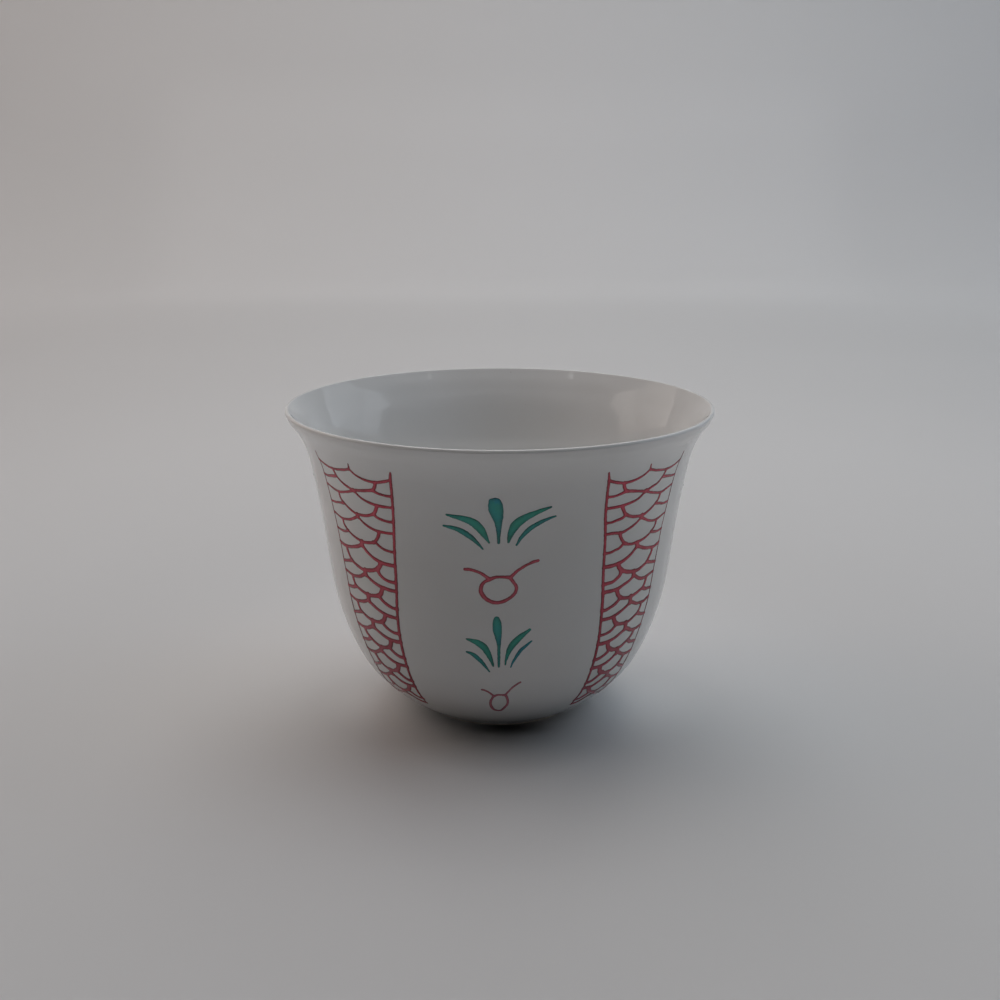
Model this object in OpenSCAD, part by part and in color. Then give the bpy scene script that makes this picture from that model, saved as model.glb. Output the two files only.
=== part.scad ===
// Small handleless coffee cup (finjan) of glazed white porcelain, with
// raised enamel decoration: four tall panels of red fish-scale net, and
// between them, on each of the four sides, green leaf sprigs above red
// berries with tendrils.
//
// Frame: +Z is up and is the axis of the cup, the origin is the centre of
// the foot's footprint on the table, -Y is the front.
// Azimuths are in degrees round the axis, 0 at the front, + towards +X.
// Depths down the wall are measured along the outside, from the lip.

/* [Cup] */
// Outside diameter at the lip
rim_d = 68; // [60:0.5:76]
// Height from the table to the top of the lip
cup_h = 50; // [44:0.5:58]
// Thickness of the lip, which is rolled to a full round
lip_t = 1; // [0.8:0.05:1.2]
// Outside diameter of the foot ring where it meets the bowl
foot_d = 28; // [26.5:0.1:28.6]
// Width of the flat face that the foot ring stands on
foot_land = 1.4; // [1:0.1:2]
// Depth of the shallow recess inside the foot ring
foot_recess = 1.1; // [0.7:0.1:1.3]

/* [Enamel] */
// Height of the fired enamel above the glaze
enamel_t = 0.12; // [0.08:0.01:0.2]
// Width of the borders of a scale panel
border_w = 0.52; // [0.4:0.02:0.6]
// Width of the scale lines
scale_w = 0.38; // [0.3:0.02:0.4]
// Pitch of the scale rows down the wall
scale_pitch = 4.4; // [4.2:0.05:4.45]
// Widest part of the painted leaves
leaf_w = 1.1; // [0.8:0.05:1.4]
// Width of the lines of a berry and its tendrils
berry_w = 0.55; // [0.4:0.05:0.7]

/* [Hidden] */

porcelain_c = [0.93, 0.93, 0.92];
red_c = [0.58, 0.10, 0.17];
green_c = [0.10, 0.38, 0.32];

kr = rim_d / 68;    // the profiles below are drawn for a 68 x 50 mm cup
kz = cup_h / 50;

// Outside of the wall, from the lip's widest point down to the foot
OUTER = [[34, 49.5], [33.5, 48.5], [32.3, 46.8], [30.9, 43.9], [29.8, 39.1],
    [28.8, 33.1], [28, 27.1], [27.1, 21.1], [25.8, 16.1], [24.1, 11.7],
    [21.9, 7.8], [18.6, 4.3], [16, 2.2], [14.6, 1.4]];
// Inside of the wall, from the lip down to the middle of the floor
INNER = [[32.4, 48.6], [31.1, 46.9], [29.4, 43.9], [27.9, 39.2],
    [26.8, 33.2], [25.9, 27.2], [24.9, 21.4], [23.5, 16.6], [21.7, 12.6],
    [19.5, 9.3], [16.4, 6.6], [12.2, 4.8], [6.5, 3.8], [0, 3.5]];

// Smooth curve through points p, with n steps between neighbours;
// a and b are the points that it would pass before and after them
function knot(a, p, b, i) = i < 0 ? a : i > len(p) - 1 ? b : p[i];
function smooth(a, p, b, n) = [
    for (i = [0 : len(p) - 2]) let (
        p0 = knot(a, p, b, i - 1), p1 = p[i], p2 = p[i + 1],
        p3 = knot(a, p, b, i + 2))
        for (k = [0 : n - 1]) let (t = k / n)
            (2 * p1 + (p2 - p0) * t + (2 * p0 - 5 * p1 + 4 * p2 - p3) * t * t
                + (3 * p1 - p0 - 3 * p2 + p3) * t * t * t) / 2,
    p[len(p) - 1]];
function ends(p) = [2 * p[0] - p[1], 2 * p[len(p) - 1] - p[len(p) - 2]];
function through(p, n) = smooth(ends(p)[0], p, ends(p)[1], n);
function sized(p) = [for (q = p) [q[0] * kr, q[1] * kz]];

outside = sized(through(OUTER, 5));
inside = sized(smooth([32.9, 49.5], INNER, [-6.5, 3.8], 4));

// The rolled lip: a half round from the outside to the inside
lip_r = lip_t / 2;
lip_c = [rim_d / 2 - lip_r, cup_h - lip_r];
lip = [for (a = [15 : 15 : 165]) lip_c + lip_r * [cos(a), sin(a)]];

// Foot ring: outer wall, rounded edge, flat land, recess
foot_r = foot_d / 2;
land_o = foot_r - 0.45;
land_i = land_o - foot_land;
foot = [[foot_r, 1.05], [foot_r - 0.08, 0.5], [foot_r - 0.18, 0.2],
    [foot_r - 0.3, 0.06], [land_o, 0], [land_i, 0], [land_i - 0.2, 0.08],
    [land_i - 0.35, 0.35], [land_i - 0.6, foot_recess - 0.1],
    [land_i - 1, foot_recess], [0, foot_recess]];

wall = [lip_c + [lip_r, 0], for (i = [1 : len(outside) - 1]) outside[i]];
section = concat(lip_reverse(inside), lip_reverse(lip), wall, foot);
function lip_reverse(v) = [for (i = [len(v) - 1 : -1 : 0]) v[i]];

// Length down the outside of the wall, and the wall's radius and height
// there
run = [for (i = 0, t = 0; i < len(wall);
    t = t + (i + 1 < len(wall) ? norm(wall[i + 1] - wall[i]) : 0), i = i + 1)
    t];
r_tab = [for (i = [0 : len(wall) - 1]) [run[i], wall[i][0]]];
z_tab = [for (i = [0 : len(wall) - 1]) [run[i], wall[i][1]]];
function wr(s) = lookup(s, r_tab);
function wz(s) = lookup(s, z_tab);
function out(s) = let (d = [wr(s + 0.4) - wr(s - 0.4),
    wz(s + 0.4) - wz(s - 0.4)]) [-d[1], d[0]] / norm(d);
// Point h above the wall at azimuth a and depth s
function at(a, s, h) = let (n = out(s), r = wr(s) + h * n[0])
    [r * sin(a), -r * cos(a), wz(s) + h * n[1]];

// Half the width of a scale panel in degrees, at depth s
HALF = [[0, 16.2], [6, 15], [10, 14.2], [15, 13.4], [20, 12.7], [25, 12.1],
    [30, 11.3], [35, 10.6], [40, 10], [48, 9.8]];

// One painted line through points [azimuth, depth], with a width in mm at
// each of them. It stands on the wall and is ridged along its middle, or
// flat on top if top is the share of its width that the flat takes.
function unit(v) = v / max(norm(v), 1e-6);
function side(p, i) = let (
    j = max(i - 1, 0), k = min(i + 1, len(p) - 1), r = wr(p[i][1]),
    d = unit([(p[k][0] - p[j][0]) * PI / 180 * r, p[k][1] - p[j][1]]))
    [-d[1] * 180 / PI / r, d[0]];
function cut(p, w, i, top) = let (e = side(p, i), b = w[i] / 2,
    t = b * top) concat([
        at(p[i][0] - e[0] * b, p[i][1] - e[1] * b, -0.01),
        at(p[i][0] + e[0] * b, p[i][1] + e[1] * b, -0.01),
        at(p[i][0] + e[0] * t, p[i][1] + e[1] * t, enamel_t)],
    top == 0 ? [] : [at(p[i][0] - e[0] * t, p[i][1] - e[1] * t, enamel_t)]);
// Ring i of points to the next ring, as triangles that face outwards
function skin(i, j, n) = [for (k = [0 : n - 1]) let (l = (k + 1) % n)
    each [[i * n + k, j * n + l, j * n + k], [i * n + k, i * n + l, j * n + l]]];
module line(p, w, top = 0.6) {
    n = top == 0 ? 3 : 4;
    m = len(p) - 1;
    polyhedron([for (i = [0 : m]) each cut(p, w, i, top)], concat(
        [for (i = [0 : m - 1]) each skin(i, i + 1, n)],
        [for (k = [1 : n - 2]) [0, k + 1, k]],
        [for (k = [1 : n - 2]) [m * n, m * n + k, m * n + k + 1]]));
}
// The same for a line that runs round to where it began
module loop(p, w, top = 0.6) {
    m = len(p);
    q = concat([p[m - 1]], p, [p[0]]);
    polyhedron([for (i = [1 : m]) each cut(q, [for (v = q) w], i, top)],
        [for (i = [0 : m - 1]) each skin(i, (i + 1) % m, 4)]);
}

// A line drawn in a panel through points [u, depth], where u runs from -1
// to 1 across the panel. across(s) is the mm from u = 0 to u = 1 at depth
// s. Lines stop just short of each other, as separate strokes of the pen.
function across(s) = lookup(s, HALF) * PI / 180 * wr(s);
module panel_line(p, w, top = 0) {
    line([for (q = p) [q[0] * lookup(q[1], HALF), q[1]]],
        [for (q = p) w], top);
}
rows = 9;
top_s = 6.4;
function row_s(k) = top_s + k * scale_pitch;
tip_s = row_s(rows) + 1.1;
hang_s = 2.6;                           // lowest point of a hanging scale
cusp_s = hang_s + scale_w + 0.02 - scale_pitch;
edge = border_w / 2 + 0.05;             // where lines stop at a border
// The right half of a row from its middle to near the border, as
// [u, depth below the row], and the depth at which it ends
HIGH = [[0, -0.5], [0.2, 0.25], [0.45, 0.55], [0.7, 0.5]];
MID = [[0, cusp_s], [0.17, -0.75], [0.38, -0.2], [0.65, 0.08]];
LAST = [[0, cusp_s], [0.17, -0.8], [0.4, -0.1], [0.68, 0.5]];
// The right half of a scale that hangs from that row, from its lowest point
HANG = [[0, hang_s], [0.2, 2.45], [0.4, 1.9], [0.54, 1]];

function both(p) = concat([for (i = [len(p) - 1 : -1 : 1])
    [-p[i][0], p[i][1]]], p);
function below(p, s) = [for (q = p) [q[0], q[1] + s]];
function reach(s, d) = 1 - d / across(s);

module scales(a) {
    rotate([0, 0, a]) {
        for (g = [-1, 1])
            panel_line(concat([[g, 4.2]], [for (s = [7.4 : 3.2 : tip_s - 1])
                [g, s]], [[g, tip_s]]), border_w, 0.6);
        for (k = [0 : rows]) let (s = row_s(k),
            p = k == 0 ? HIGH : k == rows ? LAST : MID,
            e = k == 0 ? -0.1 : k == rows ? 0.9 : 0)
            panel_line(both(concat(below(p, s),
                [[reach(s + e, edge + (k == rows ? 0.1 : 0)), s + e]])),
                scale_w);
        for (k = [0 : rows - 1]) let (s = row_s(k),
            e = scale_w / 2 + (k == 0 ? 0.7 : 0.16)) {
            panel_line(both(concat(below(HANG, s), [[0.6, s + e]])), scale_w);
            for (g = [-1, 1]) panel_line([
                [g * (0.465 + (scale_w * 1.05 + 0.12) / across(s)), s + 1.5],
                [g * 0.74, s + 2.18],
                [g * reach(s + 2.3, edge), s + 2.3]], scale_w);
        }
        panel_line([[0, 4.7], [0, row_s(0) - 0.53 - scale_w / 2]], scale_w);
    }
}

// Leaves: [azimuth, depth, share of the widest], from the tip down
UPPER = [
    [[-1, 7.9, 0.35], [-1, 8.3, 1.4], [-1, 9, 1.7], [-0.8, 10, 1.15],
        [-0.5, 11.2, 0.5], [-0.3, 12.5, 0.25], [-0.3, 15.1, 0.2]],
    [[-15, 10.7, 0.3], [-11.8, 10.9, 0.8], [-8.3, 11.3, 1], [-5.6, 12.2, 0.9],
        [-3.8, 13.6, 0.5], [-2.8, 15, 0.2]],
    [[-15.6, 12.5, 0.2], [-11.7, 12.8, 0.6], [-8.7, 13.5, 0.75],
        [-6.5, 14.7, 0.6], [-4.5, 16.1, 0.2]],
    [[14, 9.4, 0.3], [10.8, 9.9, 0.8], [6.8, 10.9, 1], [3.7, 12.3, 0.9],
        [2.5, 13.6, 0.5], [2.6, 14.9, 0.2]],
    [[15.5, 10.9, 0.2], [12.3, 11.4, 0.6], [8.8, 12.4, 0.7], [6.2, 13.8, 0.5],
        [4.6, 15.5, 0.2]]];
LOWER = [
    [[-0.9, 26.7, 0.3], [-1, 27.2, 1.1], [-1, 28.2, 1.3], [-0.8, 29.4, 0.8],
        [-0.4, 31, 0.3], [-0.2, 33, 0.2], [-0.2, 35.6, 0.18]],
    [[-10.5, 30.6, 0.25], [-7, 30.9, 0.7], [-4.4, 31.6, 0.8],
        [-2.9, 33.1, 0.55], [-2, 35.2, 0.2]],
    [[-10.6, 32.9, 0.2], [-7.9, 33.4, 0.55], [-5.7, 34.5, 0.6],
        [-3.3, 36.5, 0.2]],
    [[9.4, 29.1, 0.25], [6.3, 30.1, 0.7], [3.7, 31.7, 0.8], [2.5, 33.3, 0.5],
        [1.9, 35, 0.2]],
    [[10.2, 31.1, 0.2], [7.1, 32.6, 0.45], [4.7, 34.2, 0.45],
        [3.5, 35.6, 0.2]]];
module leaves(a, strokes) {
    rotate([0, 0, a]) for (p = strokes)
        line([for (q = p) [q[0], q[1]]], [for (q = p) q[2] * leaf_w]);
}

// Berry: a flattened ring of radius rx by ry mm about depth s, and the two
// tendrils that come off the top of it
module berry(a, s, rx, ry, w, tendrils) {
    n = 18;
    ax = rx / wr(s) * 180 / PI;
    rotate([0, 0, a]) {
        loop([for (i = [0 : n - 1]) [ax * sin(i * 360 / n) - 0.3,
            s - ry * cos(i * 360 / n)]], w);
        for (p = tendrils)
            line(p, [for (i = [0 : len(p) - 1])
                w * (0.5 + 0.4 * i / (len(p) - 1))], 0);
    }
}
UPPER_TENDRILS = [
    [[-10.1, 19.3], [-7.4, 19.4], [-5, 19.7], [-3.7, 20.1]],
    [[11.1, 17.8], [8.7, 18.2], [5.8, 19.1], [3.2, 20]]];
LOWER_TENDRILS = [
    [[-6.8, 40.4], [-4.3, 40.7], [-2.3, 41.2]],
    [[7.7, 38.8], [4.8, 39.8], [1.8, 41.1]]];

module porcelain_body() {
    color(porcelain_c) rotate_extrude($fn = 128) polygon(section);
}
module scale_panel(a) { color(red_c) scales(a); }
module upper_leaves(a) { color(green_c) leaves(a, UPPER); }
module lower_leaves(a) { color(green_c) leaves(a, LOWER); }
module upper_berry(a) {
    color(red_c) berry(a, 22.4, 2.6, 2.1, berry_w, UPPER_TENDRILS);
}
module lower_berry(a) {
    color(red_c) berry(a, 43.9, 1.3, 2.3, berry_w * 0.75, LOWER_TENDRILS);
}

porcelain_body();
scale_panel(45);  // scale_panel_front_right
scale_panel(135);  // scale_panel_back_right
scale_panel(225);  // scale_panel_back_left
scale_panel(315);  // scale_panel_front_left
upper_leaves(0);  // upper_leaves_front
upper_leaves(90);  // upper_leaves_right
upper_leaves(180);  // upper_leaves_back
upper_leaves(270);  // upper_leaves_left
upper_berry(0);  // upper_berry_front
upper_berry(90);  // upper_berry_right
upper_berry(180);  // upper_berry_back
upper_berry(270);  // upper_berry_left
lower_leaves(0);  // lower_leaves_front
lower_leaves(90);  // lower_leaves_right
lower_leaves(180);  // lower_leaves_back
lower_leaves(270);  // lower_leaves_left
lower_berry(0);  // lower_berry_front
lower_berry(90);  // lower_berry_right
lower_berry(180);  // lower_berry_back
lower_berry(270);  // lower_berry_left
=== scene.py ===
import math
import bpy
import numpy as np
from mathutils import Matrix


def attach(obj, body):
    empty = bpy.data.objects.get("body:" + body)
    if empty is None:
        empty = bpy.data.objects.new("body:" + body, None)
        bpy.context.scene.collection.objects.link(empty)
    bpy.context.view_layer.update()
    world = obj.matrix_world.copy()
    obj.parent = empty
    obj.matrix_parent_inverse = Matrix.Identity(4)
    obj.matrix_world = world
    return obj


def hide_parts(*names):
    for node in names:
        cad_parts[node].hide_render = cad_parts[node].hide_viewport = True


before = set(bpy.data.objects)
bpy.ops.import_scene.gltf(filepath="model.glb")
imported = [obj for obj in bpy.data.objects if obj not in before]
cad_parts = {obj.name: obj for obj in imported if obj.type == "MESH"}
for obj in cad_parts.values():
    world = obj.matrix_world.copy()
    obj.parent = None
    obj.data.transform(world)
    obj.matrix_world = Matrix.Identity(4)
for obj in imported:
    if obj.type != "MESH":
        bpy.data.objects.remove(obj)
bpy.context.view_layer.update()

MM = 0.001

# ---------------------------------------------------------------- profile
# The wall's outside and inside, in mm, as [radius, height above the table].
OUTER = [(34, 49.5), (33.5, 48.5), (32.3, 46.8), (30.9, 43.9), (29.8, 39.1),
         (28.8, 33.1), (28, 27.1), (27.1, 21.1), (25.8, 16.1), (24.1, 11.7),
         (21.9, 7.8), (18.6, 4.3), (16, 2.2), (14.6, 1.4)]
INNER = [(32.33, 48.65), (31.1, 46.9), (29.4, 43.9), (27.9, 39.2),
         (26.8, 33.2), (25.9, 27.2), (24.9, 21.4), (23.5, 16.6), (21.7, 12.6),
         (19.5, 9.3), (16.4, 6.6), (12.2, 4.8), (6.5, 3.8), (0, 3.5)]


def spline(points, n, before=None, after=None):
    """Smooth curve through the points, n steps between neighbours."""
    p = np.array(points, float)
    a = 2 * p[0] - p[1] if before is None else np.array(before, float)
    b = 2 * p[-1] - p[-2] if after is None else np.array(after, float)
    q = np.vstack([a, p, b])
    out = []
    for i in range(1, len(q) - 2):
        p0, p1, p2, p3 = q[i - 1:i + 3]
        for k in range(n):
            t = k / n
            out.append((2 * p1 + (p2 - p0) * t
                        + (2 * p0 - 5 * p1 + 4 * p2 - p3) * t * t
                        + (3 * p1 - p0 - 3 * p2 + p3) * t ** 3) / 2)
    out.append(p[-1])
    return np.array(out)


OUTSIDE = spline(OUTER, 12)
INSIDE = spline(INNER, 10, (33.72, 50.18), (-6.5, 3.8))
RUN = np.concatenate([[0], np.cumsum(np.hypot(*np.diff(OUTSIDE, axis=0).T))])


def wall_r(s):
    return np.interp(s, RUN, OUTSIDE[:, 0])


def wall_z(s):
    return np.interp(s, RUN, OUTSIDE[:, 1])


def wall_points(x, s, h, centre):
    """Points of the wall's outside: x mm sideways from azimuth centre, s mm
    down the wall from the lip, h mm out of it. Azimuth 0 is the front."""
    r, z = wall_r(s), wall_z(s)
    dr, dz = wall_r(s + 0.3) - wall_r(s - 0.3), wall_z(s + 0.3) - wall_z(s - 0.3)
    m = np.hypot(dr, dz)
    nr, nz = -dz / m, dr / m
    a = math.radians(centre) + x / r
    rr = r + h * nr
    return np.stack([rr * np.sin(a), -rr * np.cos(a), z + h * nz], -1) * MM


# --------------------------------------------------------------- materials
def material(name):
    m = bpy.data.materials.new(name)
    m.use_nodes = True
    nt = m.node_tree
    b = nt.nodes["Principled BSDF"]
    return m, nt, b


def node(nt, kind, **kw):
    n = nt.nodes.new(kind)
    for k, v in kw.items():
        setattr(n, k, v)
    return n


def noise(nt, coord, scale, detail=2.0, rough=0.5, distortion=0.0):
    n = node(nt, "ShaderNodeTexNoise")
    n.inputs["Scale"].default_value = scale
    n.inputs["Detail"].default_value = detail
    n.inputs["Roughness"].default_value = rough
    n.inputs["Distortion"].default_value = distortion
    nt.links.new(coord, n.inputs["Vector"])
    return n.outputs["Fac"]


def ramp(nt, fac, stops, mode="LINEAR"):
    r = node(nt, "ShaderNodeValToRGB")
    r.color_ramp.interpolation = mode
    e = r.color_ramp.elements
    while len(e) < len(stops):
        e.new(0.5)
    for k, (pos, col) in enumerate(stops):
        e[k].position = pos
        e[k].color = (*col, 1) if len(col) == 3 else col
    nt.links.new(fac, r.inputs["Fac"])
    return r.outputs["Color"]


def maths(nt, op, a, b=None, c=None, clamp=False):
    m = node(nt, "ShaderNodeMath", operation=op, use_clamp=clamp)
    for k, v in enumerate((a, b, c)):
        if v is None:
            continue
        if isinstance(v, (int, float)):
            m.inputs[k].default_value = v
        else:
            nt.links.new(v, m.inputs[k])
    return m.outputs[0]


def mix(nt, fac, a, b, blend="MIX"):
    m = node(nt, "ShaderNodeMix", data_type="RGBA", blend_type=blend)
    for sock, v in ((m.inputs["Factor"], fac), (m.inputs["A"], a), (m.inputs["B"], b)):
        if isinstance(v, (int, float)):
            sock.default_value = v
        elif isinstance(v, tuple):
            sock.default_value = (*v, 1)
        else:
            nt.links.new(v, sock)
    return m.outputs["Result"]


def bump(nt, height, strength, distance, normal=None):
    b = node(nt, "ShaderNodeBump")
    b.inputs["Strength"].default_value = strength
    b.inputs["Distance"].default_value = distance
    nt.links.new(height, b.inputs["Height"])
    if normal is not None:
        nt.links.new(normal, b.inputs["Normal"])
    return b.outputs["Normal"]


def porcelain_material():
    m, nt, b = material("glazed_porcelain")
    tc = node(nt, "ShaderNodeTexCoord").outputs["Object"]
    sep = node(nt, "ShaderNodeSeparateXYZ")
    nt.links.new(tc, sep.inputs[0])
    # Slow tone drift of the body under the glaze.
    drift = noise(nt, tc, 45, 2.0, 0.5)
    white = ramp(nt, drift, [(0.35, (0.775, 0.775, 0.765)), (0.65, (0.81, 0.812, 0.808))])
    # Pin specks of iron, very few and very faint
    speck = noise(nt, tc, 1500, 1.0, 0.5)
    speck_at = noise(nt, tc, 210, 1.0, 0.5)
    dots = maths(nt, "MULTIPLY",
                 maths(nt, "GREATER_THAN", speck, 0.80), maths(nt, "GREATER_THAN", speck_at, 0.62))
    white = mix(nt, maths(nt, "MULTIPLY", dots, 0.35), white, (0.33, 0.27, 0.21))
    # Painted shade on the outside by height: darker towards the foot, whiter towards the lip
    painted_light_out = ramp(nt, maths(nt, "MULTIPLY", sep.outputs["Z"], 20.0),
               [(0.0, (0.585,) * 3), (0.08, (0.66,) * 3), (0.12, (0.735,) * 3), (0.18, (0.82,) * 3), (0.26, (0.87,) * 3),
                (0.48, (0.84,) * 3), (0.62, (0.845,) * 3),
                (0.76, (0.895,) * 3), (0.87, (0.945,) * 3), (0.97, (1.02,) * 3)])
    out = node(nt, "ShaderNodeAttribute", attribute_name="out").outputs["Fac"]
    # painted light and shade inside the cup: tone by height, and below greyer towards the sides
    near = ramp(nt, maths(nt, "MULTIPLY", sep.outputs["Z"], 20.0), [(0.60, (1.035,) * 3), (0.84, (1.01,) * 3), (0.97, (1.02,) * 3)])
    # and painted light outside towards the two sides, most at mid height; painted shade greyer inside there
    aside = maths(nt, "MULTIPLY", maths(nt, "ABSOLUTE", sep.outputs["X"]), 20.0)
    painted_light_out = mix(nt, 1.0, painted_light_out, ramp(nt, aside, [(0.32, (1.0,) * 3), (0.52, (1.13,) * 3), (0.66, (1.13,) * 3)]), "MULTIPLY")
    side_light_mask = maths(nt, "MULTIPLY", ramp(nt, aside, [(0.34, (0.0,) * 3), (0.50, (1.0,) * 3)]),
                  ramp(nt, maths(nt, "MULTIPLY", sep.outputs["Z"], 20.0),
                       [(0.16, (0.0,) * 3), (0.34, (1.0,) * 3), (0.70, (1.0,) * 3), (0.90, (0.2,) * 3)]))
    painted_light_out = mix(nt, side_light_mask, painted_light_out, mix(nt, 1.0, painted_light_out, (1.09, 1.08, 1.07), "MULTIPLY"))
    near = mix(nt, 1.0, near, ramp(nt, aside, [(0.26, (1.0,) * 3), (0.45, (0.965,) * 3), (0.64, (0.905,) * 3)]), "MULTIPLY")
    white = mix(nt, 1.0, white, mix(nt, out, near, painted_light_out), "MULTIPLY")
    # The foot's land is wiped clean of glaze: matt, creamier biscuit
    low = maths(nt, "LESS_THAN", sep.outputs["Z"], 0.00035)
    grit = noise(nt, tc, 2600, 3.0, 0.7)
    biscuit = ramp(nt, grit, [(0.3, (0.60, 0.565, 0.505)), (0.7, (0.70, 0.665, 0.60))])
    nt.links.new(mix(nt, low, white, biscuit), b.inputs["Base Color"])
    rough = maths(nt, "MULTIPLY_ADD", noise(nt, tc, 120, 3.0, 0.6), 0.03, 0.02)
    rough = maths(nt, "MULTIPLY_ADD", low, 0.72, rough, clamp=True)
    nt.links.new(rough, b.inputs["Roughness"])
    b.inputs["IOR"].default_value = 1.52
    # Orange peel of the glaze, and a slow unevenness of the thrown wall
    peel = bump(nt, noise(nt, tc, 420, 2.0, 0.5), 0.03, 0.0001)
    slow = bump(nt, noise(nt, tc, 60, 1.0, 0.4), 0.05, 0.0005, peel)
    nt.links.new(slow, b.inputs["Normal"])
    return m


def enamel_material(name, stops, other=None, shade_by_height=None, rough=0.16):
    """Fired glassy enamel. Its tone follows how thick it lies, stored in the
    mesh as the attribute lay, and drifts along the stroke; the attribute hue
    mixes the second colour in."""
    m, nt, b = material(name)
    tc = node(nt, "ShaderNodeTexCoord").outputs["Object"]
    lay = node(nt, "ShaderNodeAttribute", attribute_name="lay").outputs["Fac"]
    drift = noise(nt, tc, 420, 3.0, 0.6)
    fine = noise(nt, tc, 2600, 2.0, 0.6)
    t = maths(nt, "MULTIPLY_ADD", maths(nt, "SUBTRACT", drift, 0.5), 1.1, lay)
    t = maths(nt, "MULTIPLY_ADD", maths(nt, "SUBTRACT", fine, 0.5), 0.4, t, clamp=True)
    col = ramp(nt, t, stops)
    if other:
        hue = node(nt, "ShaderNodeAttribute", attribute_name="hue").outputs["Fac"]
        hue = maths(nt, "MULTIPLY_ADD", maths(nt, "SUBTRACT", noise(nt, tc, 700, 2.0, 0.5), 0.5), 0.8, hue, clamp=True)
        col = mix(nt, hue, col, ramp(nt, t, other))
    if shade_by_height:
        # painted shade by height: darker towards the foot, lighter near the lip
        sep = node(nt, "ShaderNodeSeparateXYZ")
        nt.links.new(tc, sep.inputs[0])
        z = maths(nt, "MULTIPLY", sep.outputs["Z"], 20.0)
        col = mix(nt, 1.0, col, ramp(nt, z, [(20 * h, c) for h, c in shade_by_height]), "MULTIPLY")
    nt.links.new(col, b.inputs["Base Color"])
    nt.links.new(maths(nt, "MULTIPLY_ADD", drift, 0.16, rough - 0.05), b.inputs["Roughness"])
    b.inputs["IOR"].default_value = 1.5
    nt.links.new(bump(nt, noise(nt, tc, 1400, 2.0, 0.5), 0.12, 0.00008), b.inputs["Normal"])
    return m


PORCELAIN = porcelain_material()
# The last colour list of the red and the green is painted shade by height.
RED = enamel_material("red_enamel", [(0.0, (0.18, 0.018, 0.028)), (0.45, (0.42, 0.024, 0.046)), (0.75, (0.60, 0.038, 0.074)),
                                     (1.0, (0.68, 0.058, 0.102))],
                     [(0.0, (0.36, 0.115, 0.140)), (0.45, (0.68, 0.160, 0.205)), (0.75, (0.84, 0.205, 0.270)), (1.0, (0.90, 0.24, 0.31))],
                     [(0.006, (0.52, 0.68, 0.68)), (0.012, (0.55, 0.67, 0.67)), (0.020, (0.65, 0.74, 0.74)), (0.028, (0.78, 0.83, 0.83)),
                      (0.036, (0.91, 0.94, 0.94)), (0.045, (1.0, 1.35, 1.25))])
GREEN = enamel_material("green_enamel", [(0.0, (0.018, 0.133, 0.116)), (0.5, (0.026, 0.285, 0.210)), (1.0, (0.034, 0.375, 0.274))],
                        [(0.0, (0.016, 0.118, 0.150)), (0.5, (0.018, 0.258, 0.325)), (1.0, (0.024, 0.350, 0.450))],
                        [(0.010, (0.78, 0.84, 0.84)), (0.022, (0.88, 0.93, 0.93)), (0.030, (1.0, 1.0, 1.0))])


# ------------------------------------------------------------ mesh helpers
def new_object(name, verts, faces, mats, smooth=True):
    me = bpy.data.meshes.new(name)
    me.from_pydata([tuple(map(float, v)) for v in verts], [], faces)
    me.update()
    me.validate()
    if smooth:
        me.polygons.foreach_set("use_smooth", [True] * len(me.polygons))
    for m in mats:
        me.materials.append(m)
    ob = bpy.data.objects.new(name, me)
    bpy.context.scene.collection.objects.link(ob)
    return ob


def porcelain():
    """The fired body as one closed lathe mesh: inside, rolled lip, outside,
    foot ring and its recess."""
    lip_c, lip_r = np.array([33.62, 49.66]), 0.34
    lip = [lip_c + lip_r * np.array([math.cos(a), math.sin(a)])
           for a in np.radians(np.arange(140, 5, -10))]
    foot = spline([(13.9, 1.16), (13.2, 1.0), (12.95, 0.85), (12.84, 0.55), (12.78, 0.25), (12.66, 0.07), (12.5, 0.0)], 4)
    inner = spline([(11.55, 0.0), (11.4, 0.05), (11.28, 0.25), (11.15, 0.6), (10.95, 0.92), (10.6, 1.06), (9.2, 1.12), (5, 1.16)], 4)
    line = [p for p in INSIDE[::-1]][1:]
    line += [(INSIDE[0] * (1 - f) + lip[0] * f) for f in (0.25, 0.5, 0.75)]
    line += lip + [p for p in OUTSIDE] + [p for p in foot] + [np.array([12.0, 0.0])] + [p for p in inner]
    line = np.array(line)
    seg = 272
    verts, faces = [], []
    ang = np.arange(seg) * 2 * math.pi / seg
    ca, sa = np.cos(ang), np.sin(ang)
    for k, (r, z) in enumerate(line):
        # the lip and wall of a fired cup are never quite round or level
        wave = 0.035 * np.sin(2 * ang + 0.7) + 0.02 * np.sin(3 * ang + 2.1)
        up = max(0.0, min(1.0, (z - 20) / 30))
        rr = r + wave * up * min(1, r / 20)
        zz = z + up * up * (0.11 - 0.20 * np.cos(ang) + 0.012 * np.sin(2 * ang + 1.9) + 0.006 * np.sin(5 * ang))
        verts += list(np.stack([rr * sa, -rr * ca, zz + 0 * ang], -1) * MM)
    rings = len(line)
    for k in range(rings - 1):
        for i in range(seg):
            j = (i + 1) % seg
            faces.append((k * seg + i, k * seg + j, (k + 1) * seg + j, (k + 1) * seg + i))
    top = len(verts)
    verts.append(np.array([0, 0, 3.5]) * MM)
    bot = len(verts)
    verts.append(np.array([0, 0, 1.16]) * MM)
    for i in range(seg):
        j = (i + 1) % seg
        faces.append((top, j, i))
        faces.append((bot, (rings - 1) * seg + i, (rings - 1) * seg + j))
    ob = new_object("porcelain_cup", verts, faces, [PORCELAIN])
    first = len(INSIDE) + 2 + len(lip) // 2
    out = np.zeros(len(verts), np.float32)
    out[first * seg:top] = 1.0
    ob.data.attributes.new("out", "FLOAT", "POINT").data.foreach_set("value", out)
    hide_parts("porcelain_body")
    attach(ob, "root")
    return ob


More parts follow.
